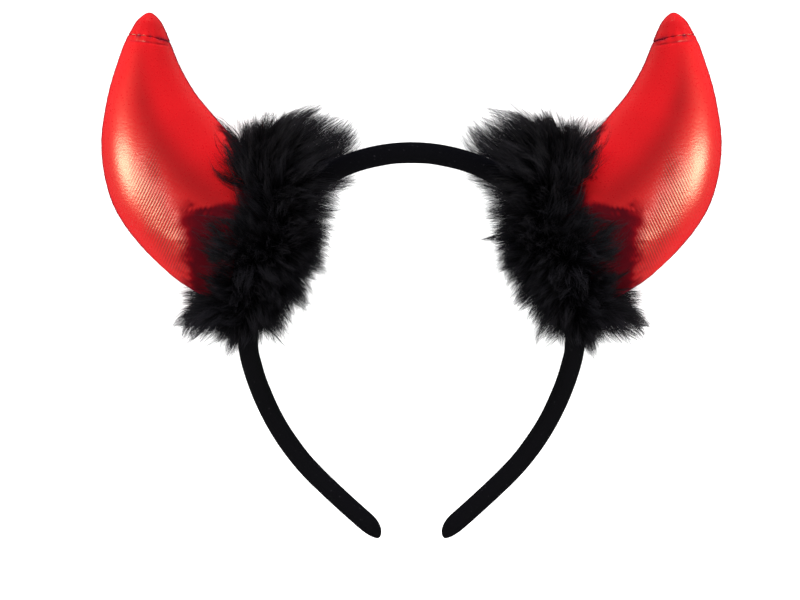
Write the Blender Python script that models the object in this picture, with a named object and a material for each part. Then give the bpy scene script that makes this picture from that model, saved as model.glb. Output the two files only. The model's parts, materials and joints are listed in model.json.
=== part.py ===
# Devil horns headband: a padded band covered in black cloth, two stuffed satin
# horns with sewn-on tips, and a deep fur collar round the foot of each horn.
# Metres, +Z up. The headband lies on its back: X runs across the head, Y from the
# band's ends towards the crown, and Z from the back of the headband to its front.

import math
from collections import namedtuple

import bmesh
import bpy
from mathutils import Vector

# Clearances and mesh detail
CLEARANCE = 0.0003
WALK_STEPS = 12
SHARP_ANGLE = math.radians(50.0)
UP = Vector((0.0, 0.0, 1.0))

# Band: its middle line is measured from the crown to one end
BAND_HALF_LENGTH = 0.1987
BAND_CROWN_THICKNESS = 0.0081
BAND_END_THICKNESS = 0.0072
BAND_DEPTH = 0.0100
BAND_END_ROUND = 0.0080
BAND_END_LEAN = 0.35
BAND_SQUARENESS = 2.8
BAND_STATIONS = 20
BAND_END_STATIONS = 4
END_LAST_TURN = math.radians(83.0)
BAND_POINTS = 16

BandRow = namedtuple("BandRow", "along heading")
# along is a share of the half length, heading is in degrees below level
BAND_LINE = (
    BandRow(0.000, 0.0),
    BandRow(0.155, 26.5),
    BandRow(0.290, 59.0),
    BandRow(0.490, 83.0),
    BandRow(0.585, 106.0),
    BandRow(0.700, 119.0),
    BandRow(0.840, 136.0),
    BandRow(1.000, 140.0),
)

# Horns: the middle line starts on the band and bends up to the tip
HORN_SEAT_ALONG = 0.375
HORN_LENGTH = 0.1098
HORN_WIDTH = 0.0555
HORN_DEPTH = 0.0310
HORN_TIP_LENGTH = 0.0095
HORN_TIP_ROUND = 0.0048
HORN_TIP_BLUNT = 0.0001
HORN_SEAM_PINCH = 1.18
HORN_STATIONS = 20
HORN_TIP_STATIONS = 6
HORN_POINTS = 24

HornRow = namedtuple("HornRow", "along heading width depth")
# along is a share of the length, heading is in degrees from +Y towards the outside,
# width and depth are shares of HORN_WIDTH and HORN_DEPTH
HORN_LINE = (
    HornRow(0.00, 56.0, 0.840, 0.92),
    HornRow(0.12, 53.0, 0.885, 0.98),
    HornRow(0.25, 45.0, 0.950, 1.00),
    HornRow(0.40, 33.0, 0.955, 0.96),
    HornRow(0.50, 23.0, 0.895, 0.90),
    HornRow(0.60, 15.0, 0.790, 0.81),
    HornRow(0.70, 8.0, 0.620, 0.69),
    HornRow(0.80, 2.0, 0.460, 0.55),
    HornRow(0.90, -3.0, 0.305, 0.40),
    HornRow(1.00, -4.0, 0.115, 0.17),
)

# Fur collars: a fat roll of fur that lies across the foot of the horn
FUR_LOWER_LENGTH = 0.0380
FUR_UPPER_LENGTH = 0.0545
FUR_INNER_REACH = 0.0170
FUR_OUTER_REACH = 0.0225
FUR_BACK = 0.0240
FUR_FRONT = 0.0245
FUR_BACK_FULLNESS = 1.3
FUR_STATIONS = 15
FUR_POINTS = 16
LOCK_LENGTH = 0.0080
LOCK_SLENDERNESS = 0.7
LOCK_SHORTEST = 0.60
LOCK_WAIST = 0.62
LOCK_WAIST_ALONG = 0.50
LOCK_SWAY = 0.45
LOCK_FLOOR_GAP = 0.0006
# Steps from lock to lock, in radians, by which neighbours lean and reach differently
LOCK_LEAN_STEP = 2.4
LOCK_RISE_STEP = 1.3
LOCK_REACH_STEP = 3.7

FurRow = namedtuple("FurRow", "along inner outer deep")
# along runs from -1 at the lower end over 0 at the horn's middle to 1 at the upper
# end, inner and outer are shares of the two reaches, deep of FUR_BACK and FUR_FRONT
FUR_LINE = (
    FurRow(-1.00, 0.10, 0.16, 0.20),
    FurRow(-0.92, 0.64, 0.50, 0.52),
    FurRow(-0.72, 1.00, 0.70, 0.82),
    FurRow(-0.45, 1.02, 0.74, 0.96),
    FurRow(0.00, 1.00, 1.00, 1.00),
    FurRow(0.22, 0.94, 0.98, 1.00),
    FurRow(0.40, 0.76, 1.38, 0.98),
    FurRow(0.60, 0.68, 1.66, 0.92),
    FurRow(0.76, 0.64, 1.38, 0.82),
    FurRow(0.90, 0.52, 0.92, 0.62),
    FurRow(1.00, 0.22, 0.34, 0.22),
)

SIDES = {"left": -1.0, "right": 1.0}


def clear_scene():
    for item in list(bpy.data.objects):
        bpy.data.objects.remove(item, do_unlink=True)


def principled(name, colour, roughness, metallic=0.0):
    material = bpy.data.materials.new(name)
    material.use_nodes = True
    shader = material.node_tree.nodes["Principled BSDF"]
    shader.inputs["Base Color"].default_value = (*colour, 1.0)
    shader.inputs["Roughness"].default_value = roughness
    shader.inputs["Metallic"].default_value = metallic
    material.diffuse_color = (*colour, 1.0)
    return material


def band_cloth():
    return principled("band_cloth", (0.006, 0.006, 0.008), 0.75)


def horn_satin():
    return principled("horn_satin", (0.75, 0.012, 0.02), 0.35)


def collar_fur():
    return principled("collar_fur", (0.004, 0.004, 0.005), 0.9)


def between(rows, along, column):
    # A straight change from row to row
    low, high = neighbours(rows, along)
    part = (along - low.along) / (high.along - low.along)
    start = getattr(low, column)
    return start + part * (getattr(high, column) - start)


def neighbours(rows, along):
    for low, high in zip(rows, rows[1:]):
        if along <= high.along:
            return low, high
    return rows[-2], rows[-1]


def slope(rows, index, column):
    before = rows[max(index - 1, 0)]
    after = rows[min(index + 1, len(rows) - 1)]
    return (getattr(after, column) - getattr(before, column)) / (after.along - before.along)


def smooth_between(rows, along, column):
    # A smooth curve through the rows
    low, high = neighbours(rows, along)
    gap = high.along - low.along
    part = (along - low.along) / gap
    leave = slope(rows, rows.index(low), column) * gap
    arrive = slope(rows, rows.index(high), column) * gap
    low_value = getattr(low, column)
    rise = getattr(high, column) - low_value
    bend = (3.0 * rise - 2.0 * leave - arrive) * part ** 2
    return low_value + leave * part + bend + (leave + arrive - 2.0 * rise) * part ** 3


def walk(rows, length, stations):
    # The heading turns evenly from row to row, so the line is a chain of arcs
    places = []
    forward = 0.0
    sideways = 0.0
    done = 0.0
    for station in stations:
        step = (station - done) / WALK_STEPS
        for index in range(WALK_STEPS):
            turn = math.radians(between(rows, done + (index + 0.5) * step, "heading"))
            forward += math.cos(turn) * step * length
            sideways += math.sin(turn) * step * length
        done = station
        places.append((forward, sideways, math.radians(between(rows, station, "heading"))))
    return places


def signed_power(value, power):
    return math.copysign(abs(value) ** power, value)


def loft(name, rings):
    # Rings of points are joined in order, and the two end rings are closed
    shape = bmesh.new()
    rows = [[shape.verts.new(point) for point in ring] for ring in rings]
    count = len(rows[0])
    for low, high in zip(rows, rows[1:]):
        for index in range(count):
            after = (index + 1) % count
            shape.faces.new((low[index], low[after], high[after], high[index]))
    shape.faces.new(rows[0])
    shape.faces.new(rows[-1])
    return finished(name, shape)


def finished(name, shape):
    bmesh.ops.recalc_face_normals(shape, faces=shape.faces)
    mesh = bpy.data.meshes.new(name)
    shape.to_mesh(mesh)
    shape.free()
    item = bpy.data.objects.new(name, mesh)
    bpy.context.scene.collection.objects.link(item)
    return item


def shade(item, material):
    item.data.materials.clear()
    item.data.materials.append(material)
    item.data.shade_smooth()
    item.data.set_sharp_from_angle(angle=SHARP_ANGLE)


# Band

def band_stations():
    # Even steps with half a step on each side of the crown, which leaves a flat
    # facet there, then closer steps round the end
    last_even = 1.0 - BAND_END_ROUND / BAND_HALF_LENGTH
    step = last_even / (BAND_STATIONS + 0.5)
    stations = [(index + 0.5) * step for index in range(BAND_STATIONS + 1)]
    for index in range(1, BAND_END_STATIONS + 1):
        turn = END_LAST_TURN * index / BAND_END_STATIONS
        stations.append(last_even + (1.0 - last_even) * math.sin(turn))
    return stations


def end_scale(along, length, round_length):
    # How far a section has shrunk on the way round a rounded end
    left = (1.0 - along) * length
    if left >= round_length:
        return 1.0
    return math.sqrt(1.0 - ((round_length - left) / round_length) ** 2)


def band_half(extra):
    # Centre, outward direction and half thickness at each station, on the +X side
    places = walk(BAND_LINE, BAND_HALF_LENGTH, band_stations())
    half = []
    for station, (across, down, turn) in zip(band_stations(), places):
        outward = Vector((math.sin(turn), math.cos(turn), 0.0))
        thick = BAND_CROWN_THICKNESS + station * (BAND_END_THICKNESS - BAND_CROWN_THICKNESS)
        scale = end_scale(station, BAND_HALF_LENGTH, BAND_END_ROUND)
        lean = (1.0 - scale) * thick / 2.0 * BAND_END_LEAN
        centre = Vector((across, -down, 0.0)) + outward * lean
        half.append((centre, outward, thick / 2.0 * scale + extra, BAND_DEPTH / 2.0 * scale + extra))
    return half


def band_ring(centre, outward, half_thick, half_deep):
    ring = []
    for index in range(BAND_POINTS):
        angle = 2.0 * math.pi * (index + 0.5) / BAND_POINTS
        out = signed_power(math.cos(angle), 2.0 / BAND_SQUARENESS) * half_thick
        deep = signed_power(math.sin(angle), 2.0 / BAND_SQUARENESS) * half_deep
        ring.append(centre + outward * out + UP * deep)
    return ring


def mirrored(vector):
    return Vector((-vector.x, vector.y, vector.z))


def band_body(name, extra):
    half = band_half(extra)
    rings = [band_ring(mirrored(centre), mirrored(outward), thick, deep)
             for centre, outward, thick, deep in reversed(half)]
    rings += [band_ring(*section) for section in half]
    return loft(name, rings)


def arch_block(name, extra):
    # Everything inside the band's outer line, for cutting the foot of each horn
    edge = [centre + outward * (thick + extra) for centre, outward, thick, deep in band_half(0.0)]
    line = [mirrored(point) for point in reversed(edge)] + edge
    height = HORN_DEPTH
    return loft(name, [[point - UP * height for point in line], [point + UP * height for point in line]])


# Horns

def horn_seat(side):
    # The middle of the horn's foot on the band's middle line
    across, down, turn = walk(BAND_LINE, BAND_HALF_LENGTH, [HORN_SEAT_ALONG])[0]
    return Vector((side * across, -down, 0.0))


def horn_rings(side, start, end, count, extra):
    stations = [start + (end - start) * index / count for index in range(count + 1)]
    seat = horn_seat(side)
    rings = []
    for station, (up, out, turn) in zip(stations, walk(HORN_LINE, HORN_LENGTH, stations)):
        centre = seat + Vector((side * out, up, 0.0))
        outward = Vector((side * math.cos(turn), -math.sin(turn), 0.0))
        scale = end_scale(min(station, 1.0), HORN_LENGTH, HORN_TIP_ROUND)
        width = HORN_WIDTH / 2.0 * smooth_between(HORN_LINE, station, "width") * scale + extra
        depth = HORN_DEPTH / 2.0 * smooth_between(HORN_LINE, station, "depth") * scale + extra
        rings.append(horn_ring(centre, outward, width, depth))
    return rings


def horn_ring(centre, outward, half_width, half_depth):
    # The front and the back panel meet in a pinched seam on either side
    ring = []
    for index in range(HORN_POINTS):
        angle = 2.0 * math.pi * index / HORN_POINTS
        deep = signed_power(math.sin(angle), HORN_SEAM_PINCH) * half_depth
        ring.append(centre + outward * math.cos(angle) * half_width + UP * deep)
    return ring


def seam_share():
    return 1.0 - HORN_TIP_LENGTH / HORN_LENGTH


def horn_body(name, side, foot_gap, extra):
    start = -extra / HORN_LENGTH
    horn = loft(name, horn_rings(side, start, seam_share(), HORN_STATIONS, extra))
    block = arch_block("foot_cutter", foot_gap)
    cut(horn, [block])
    return horn


def horn_tip(name, side):
    start = seam_share() + CLEARANCE / HORN_LENGTH
    stop = 1.0 - HORN_TIP_BLUNT / HORN_LENGTH
    return loft(name, horn_rings(side, start, stop, HORN_TIP_STATIONS, 0.0))


# Fur collars

def fur_grid(side):
    # Rings of points round the roll's own axis, which crosses the horn's middle line
    seat = horn_seat(side)
    turn = math.radians(HORN_LINE[0].heading)
    outward = Vector((side * math.sin(turn), math.cos(turn), 0.0))
    upward = Vector((-side * math.cos(turn), math.sin(turn), 0.0))
    rings = []
    for index in range(FUR_STATIONS + 1):
        along = fur_along(index / FUR_STATIONS)
        length = FUR_UPPER_LENGTH if along > 0.0 else FUR_LOWER_LENGTH
        inner = FUR_INNER_REACH * smooth_between(FUR_LINE, along, "inner")
        outer = FUR_OUTER_REACH * smooth_between(FUR_LINE, along, "outer")
        deep = smooth_between(FUR_LINE, along, "deep")
        middle = seat + upward * along * length + outward * (outer - inner) / 2.0
        rings.append(fur_ring(middle, outward, (outer + inner) / 2.0, deep))
    return rings


def fur_along(part):
    # From -1 to 1, with closer stations towards both ends
    even = 2.0 * part - 1.0
    return (even + math.sin(even * math.pi / 2.0)) / 2.0


def fur_ring(middle, outward, half_width, deep):
    # Round at the front, pressed flat at the back where it lies on the surface
    ring = []
    for index in range(FUR_POINTS):
        angle = 2.0 * math.pi * (index + 0.5) / FUR_POINTS
        rise = math.sin(angle) * deep
        full = FUR_FRONT if rise > 0.0 else FUR_BACK * FUR_BACK_FULLNESS
        height = max(rise * full, -FUR_BACK)
        ring.append(middle + outward * math.cos(angle) * half_width + UP * height)
    return ring


def fur_roll(name, side):
    shape = bmesh.new()
    rings = fur_grid(side)
    rows = [[shape.verts.new(point) for point in ring] for ring in rings]
    axis = [sum(ring, Vector()) / FUR_POINTS for ring in rings]
    faces = []
    for row, (low, high) in enumerate(zip(rows, rows[1:])):
        for index in range(FUR_POINTS):
            after = (index + 1) % FUR_POINTS
            corners = [low[index], low[after], high[after], high[index]]
            faces.append((corners, (axis[row] + axis[row + 1]) / 2.0, len(faces)))
    for corners, heart, number in faces:
        add_lock(shape, corners, heart, number)
    for row, heart in ((rows[0], axis[1]), (rows[-1], axis[-2])):
        add_lock(shape, row, heart, 0)
    return finished(name, shape)


def add_lock(shape, corners, heart, number):
    # A tuft grows from the patch between the corners, away from the roll's heart.
    # Patches that lie on the surface stay flat.
    centre = sum((corner.co for corner in corners), Vector()) / len(corners)
    if min(corner.co.z for corner in corners) <= -FUR_BACK and centre.z < -FUR_BACK / 2.0:
        shape.faces.new(corners)
        return
    half = len(corners) // 2
    first = corners[half].co - corners[0].co
    second = corners[half + half // 2].co - corners[half // 2].co
    away = (centre - heart).normalized()
    facing = first.cross(second).normalized()
    away = (away + facing * math.copysign(1.0, facing.dot(away))).normalized()
    patch = min(first.length, second.length)
    lean = number * LOCK_LEAN_STEP
    sway = Vector((math.sin(lean), math.cos(lean), math.sin(number * LOCK_RISE_STEP)))
    length = min(LOCK_LENGTH, LOCK_SLENDERNESS * patch)
    length *= LOCK_SHORTEST + (1.0 - LOCK_SHORTEST) * math.sin(number * LOCK_REACH_STEP) ** 2
    waist = []
    for corner in corners:
        inset = centre + (corner.co - centre) * LOCK_WAIST + away * length * LOCK_WAIST_ALONG
        waist.append(shape.verts.new(above_floor(inset)))
    tip = shape.verts.new(above_floor(centre + away * length + sway * length * LOCK_SWAY))
    for index in range(len(corners)):
        after = (index + 1) % len(corners)
        shape.faces.new((corners[index], corners[after], waist[after], waist[index]))
        shape.faces.new((waist[index], waist[after], tip))


def above_floor(point):
    return Vector((point.x, point.y, max(point.z, LOCK_FLOOR_GAP - FUR_BACK)))


def fur_collar(name, side):
    collar = fur_roll(name, side)
    cutters = [
        band_body("band_cutter", CLEARANCE),
        horn_body("horn_cutter", side, 0.0, CLEARANCE),
    ]
    cut(collar, cutters)
    keep_largest(collar)
    return collar


# Cutting

def cut(item, cutters):
    for cutter in cutters:
        modifier = item.modifiers.new("cut", "BOOLEAN")
        modifier.operation = "DIFFERENCE"
        modifier.object = cutter
    graph = bpy.context.evaluated_depsgraph_get()
    result = bpy.data.meshes.new_from_object(item.evaluated_get(graph))
    item.modifiers.clear()
    item.data = result
    for cutter in cutters:
        bpy.data.objects.remove(cutter, do_unlink=True)


def keep_largest(item):
    # Tufts that the cut has parted from the collar are taken away
    shape = bmesh.new()
    shape.from_mesh(item.data)
    groups = []
    waiting = set(shape.verts)
    while waiting:
        group = set()
        edge = [waiting.pop()]
        while edge:
            vertex = edge.pop()
            group.add(vertex)
            near = {link.other_vert(vertex) for link in vertex.link_edges} & waiting
            waiting -= near
            edge.extend(near)
        groups.append(group)
    groups.sort(key=len)
    loose = [vertex for group in groups[:-1] for vertex in group]
    bmesh.ops.delete(shape, geom=loose, context="VERTS")
    shape.to_mesh(item.data)
    shape.free()


# Assembly

def place_on_floor(items):
    # The furs' flat backs go on the floor and the whole is centred along Y
    heights = [vertex.co.y for item in items for vertex in item.data.vertices]
    shift = Vector((0.0, -(max(heights) + min(heights)) / 2.0, FUR_BACK))
    for item in items:
        for vertex in item.data.vertices:
            vertex.co += shift


def build():
    clear_scene()
    cloth = band_cloth()
    satin = horn_satin()
    fur = collar_fur()
    band = band_body("headband", 0.0)
    shade(band, cloth)
    items = [band]
    for word, side in SIDES.items():
        horn = horn_body("horn_" + word, side, CLEARANCE, 0.0)
        shade(horn, satin)
        tip = horn_tip("horn_tip_" + word, side)
        shade(tip, satin)
        collar = fur_collar("fur_" + word, side)
        shade(collar, fur)
        items += [horn, tip, collar]
    place_on_floor(items)


build()
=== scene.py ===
# Devil horns headband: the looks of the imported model.
# It lies on its back on a pale floor and is seen from straight above, as the photo
# shows it from the front. X runs across the head, Y towards the crown, Z to the front.

import json
import math

import bpy
import numpy as np
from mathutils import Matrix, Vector, noise
from mathutils.bvhtree import BVHTree
from mathutils.kdtree import KDTree

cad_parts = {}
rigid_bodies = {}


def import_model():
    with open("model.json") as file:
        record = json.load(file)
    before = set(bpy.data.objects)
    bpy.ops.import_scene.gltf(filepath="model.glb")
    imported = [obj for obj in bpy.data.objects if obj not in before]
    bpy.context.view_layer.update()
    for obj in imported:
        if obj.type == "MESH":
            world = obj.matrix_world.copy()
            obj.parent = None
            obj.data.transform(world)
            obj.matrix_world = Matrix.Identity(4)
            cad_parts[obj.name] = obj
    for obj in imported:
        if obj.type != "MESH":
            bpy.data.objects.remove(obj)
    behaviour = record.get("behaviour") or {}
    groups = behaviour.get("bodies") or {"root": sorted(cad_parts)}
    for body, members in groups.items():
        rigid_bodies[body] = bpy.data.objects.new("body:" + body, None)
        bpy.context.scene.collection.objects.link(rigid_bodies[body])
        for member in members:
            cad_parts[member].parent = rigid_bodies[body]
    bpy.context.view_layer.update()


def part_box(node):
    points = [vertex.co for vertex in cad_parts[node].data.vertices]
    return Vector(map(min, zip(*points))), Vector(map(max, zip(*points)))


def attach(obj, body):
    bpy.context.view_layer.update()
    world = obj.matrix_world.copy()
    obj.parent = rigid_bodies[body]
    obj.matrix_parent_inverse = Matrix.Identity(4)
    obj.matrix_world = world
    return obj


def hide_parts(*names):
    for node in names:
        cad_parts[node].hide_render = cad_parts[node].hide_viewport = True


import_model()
mm = 0.001


# The lines that the pieces follow, as on the solids

def table(columns, rows):
    names = columns.split()
    return {name: np.array([row[index] for row in rows]) for index, name in enumerate(names)}


band = {
    "halfLength": 198.7 * mm,   # crown to one end, along the middle line
    "crownThickness": 8.1 * mm,
    "endThickness": 7.2 * mm,
    "depth": 10.0 * mm,         # front to back
    "endRound": 8.0 * mm,
    "endLean": 0.35,
    "squareness": 2.8,
    "stations": 420,
    "points": 56,
    "pucker": 0.07 * mm,        # cross folds of the cloth inside a bend
    "puckerSpacing": 2.3 * mm,
    "puckerDrift": 9.0 * mm,
    "glueEdge": 0.22 * mm,      # the glued edge along the inner side
}
# along is a share of the half length, heading is in degrees below level
bandLine = table("along heading", (
    (0.000, 0.0),
    (0.155, 26.5),
    (0.290, 59.0),
    (0.490, 83.0),
    (0.585, 106.0),
    (0.700, 119.0),
    (0.840, 136.0),
    (1.000, 140.0),
))

horn = {
    "seatAlong": 0.375,         # where the horn stands on the band
    "length": 109.8 * mm,
    "width": 55.5 * mm,
    "depth": 31.0 * mm,
    "tipLength": 9.5 * mm,
    "tipRound": 4.8 * mm,
    "seamPinch": 1.18,
    "stations": 190,
    "tipStations": 44,
    "points": 112,
}
# along is a share of the length, heading in degrees from +Y towards the outside
hornLine = table("along heading width depth", (
    (0.00, 56.0, 0.840, 0.92),
    (0.12, 53.0, 0.885, 0.98),
    (0.25, 45.0, 0.950, 1.00),
    (0.40, 33.0, 0.955, 0.96),
    (0.50, 23.0, 0.895, 0.90),
    (0.60, 15.0, 0.790, 0.81),
    (0.70, 8.0, 0.620, 0.69),
    (0.80, 2.0, 0.460, 0.55),
    (0.90, -3.0, 0.305, 0.40),
    (1.00, -4.0, 0.115, 0.17),
))

fur = {
    "lowerLength": 38.0 * mm,
    "upperLength": 54.5 * mm,
    "innerReach": 17.0 * mm,
    "outerReach": 22.5 * mm,
    "back": 24.0 * mm,
    "front": 24.5 * mm,
    "backFullness": 1.3,
}
# along runs from -1 at the lower end to 1 at the upper end of the roll
furLine = table("along inner outer deep", (
    (-1.00, 0.10, 0.16, 0.20),
    (-0.92, 0.64, 0.62, 0.52),
    (-0.72, 1.00, 0.84, 0.82),
    (-0.45, 1.02, 0.74, 0.96),
    (0.00, 1.00, 1.00, 1.00),
    (0.22, 0.94, 0.98, 1.00),
    (0.40, 0.76, 1.38, 0.98),
    (0.60, 0.68, 1.66, 0.92),
    (0.76, 0.64, 1.38, 0.82),
    (0.90, 0.52, 0.92, 0.62),
    (1.00, 0.22, 0.34, 0.22),
))

sides = {"left": -1.0, "right": 1.0}
bandLow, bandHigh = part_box("headband")
crownY = bandHigh.y - band["crownThickness"] / 2.0
middleZ = (bandLow.z + bandHigh.z) / 2.0
up = np.array((0.0, 0.0, 1.0))


def smooth(line, column, stations):
    # A smooth curve through the rows of a table
    along, values = line["along"], line[column]
    last = len(along) - 1
    before = np.maximum(np.arange(last + 1) - 1, 0)
    after = np.minimum(np.arange(last + 1) + 1, last)
    slopes = (values[after] - values[before]) / (along[after] - along[before])
    low = np.clip(np.searchsorted(along, stations) - 1, 0, last - 1)
    gap = along[low + 1] - along[low]
    part = (stations - along[low]) / gap
    leave, arrive = slopes[low] * gap, slopes[low + 1] * gap
    rise = values[low + 1] - values[low]
    return (values[low] + leave * part + (3.0 * rise - 2.0 * leave - arrive) * part ** 2
            + (leave + arrive - 2.0 * rise) * part ** 3)


def walk(line, length, stations):
    # Forward and sideways distance and the heading, along a chain of arcs
    fine = np.linspace(0.0, 1.0, 4001)
    turn = np.radians(np.interp((fine[1:] + fine[:-1]) / 2.0, line["along"], line["heading"]))
    step = length * np.diff(fine)
    forward = np.concatenate(([0.0], np.cumsum(np.cos(turn) * step)))
    sideways = np.concatenate(([0.0], np.cumsum(np.sin(turn) * step)))
    heading = np.radians(np.interp(stations, line["along"], line["heading"]))
    return np.interp(stations, fine, forward), np.interp(stations, fine, sideways), heading


def signedPower(value, power):
    return np.sign(value) * np.abs(value) ** power


def endScale(stations, length, roundLength):
    left = np.clip((1.0 - stations) * length, 0.0, roundLength)
    return np.sqrt(np.clip(1.0 - ((roundLength - left) / roundLength) ** 2, 0.0, 1.0))


def flatVectors(x, y):
    return np.stack((x, y, np.zeros_like(x)), axis=-1)


def softNoise(points, size, shift=0.0):
    # Smooth noise from -1 to 1, with lumps about size across
    return np.array([noise.noise(Vector(point) / size + Vector((shift, shift, shift))) for point in points])


# Meshes and materials

def makeObject(name, points, faces, material, smoothShade=True):
    mesh = bpy.data.meshes.new(name)
    mesh.from_pydata(np.asarray(points).reshape(-1, 3).tolist(), [], faces)
    mesh.polygons.foreach_set("use_smooth", [smoothShade] * len(mesh.polygons))
    mesh.materials.append(material)
    mesh.update()
    item = bpy.data.objects.new(name, mesh)
    bpy.context.scene.collection.objects.link(item)
    return item


def loft(name, rings, material):
    # A closed skin over rings of points
    count, around = rings.shape[:2]
    index = np.arange(count * around).reshape(count, around)
    beside = np.roll(index, -1, axis=1)
    quads = np.stack((index[:-1], beside[:-1], beside[1:], index[1:]), axis=-1).reshape(-1, 4)
    faces = quads.tolist() + [index[0][::-1].tolist(), index[-1].tolist()]
    item = makeObject(name, rings, faces, material)
    turnOutward(item)
    return item


def turnOutward(item):
    # The faces of a closed skin point out where its signed volume is positive
    mesh = item.data
    total = 0.0
    for face in mesh.polygons:
        total += face.center.dot(face.normal) * face.area
    if total < 0.0:
        mesh.flip_normals()


def linear(code):
    # A hex colour as it looks on a screen, turned to the linear values of a shader
    parts = [int(code[start:start + 2], 16) / 255.0 for start in (1, 3, 5)]
    return tuple(((p + 0.055) / 1.055) ** 2.4 if p > 0.04045 else p / 12.92 for p in parts) + (1.0,)


def newMaterial(name):
    material = bpy.data.materials.new(name)
    material.use_nodes = True
    return material, material.node_tree, material.node_tree.nodes["Principled BSDF"]


def addNode(tree, kind, inputs=None, **settings):
    # Adds a node; an input is a number, a colour or another node's output
    item = tree.nodes.new("ShaderNode" + kind)
    for name, value in settings.items():
        setattr(item, name, value)
    for name, value in (inputs or {}).items():
        if isinstance(value, bpy.types.NodeSocket):
            tree.links.new(value, item.inputs[name])
        else:
            item.inputs[name].default_value = value
    return item


def setRamp(ramp, stops):
    # Colour stops as (position, colour)
    elements = ramp.color_ramp.elements
    while len(elements) < len(stops):
        elements.new(0.5)
    for element, (position, colour) in zip(elements, stops):
        element.position = position
        element.color = colour


satinLook = {
    "base": "#c90f19",
    # the dye's darker tone, also the colour of the painted shade stripe and the darker tip
    "deep": "#8e0a13",
    "valley": "#7c0710",               # painted shade between the ribs
    "shaded": "#450a12",               # under the edge of the fur
    # painted shade at the seams: along the outline, in the cross seam's groove and in the crease below it
    "seam": "#700e24",
    "gloss": (0.72, 0.90, 0.64, 1.0),  # a pale straw highlight on the red
    "roughness": 0.24,
    "metallic": 0.08,                  # silky threads tint their own reflection red
    "ribSpacing": 1.05 * mm,           # the ribs that show in the highlight
    "ribAngle": 63.0,                  # degrees above level, leaning in towards the head
    "ribHeight": 0.050 * mm,
    "slubHeight": 0.060 * mm,
    "slubScale": (420.0, 1250.0, 900.0),   # turns of the noise a metre, along and across
    "wander": 1.6,                     # how far the ribs stray, in radians of their wave
    "ribRough": 0.10,                  # what the ribs and the grain add to the roughness
    "dyeUneven": 0.30,
    "mirrorless": 0.8,                 # no box is mirrored under the fur past this shade
}


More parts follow.
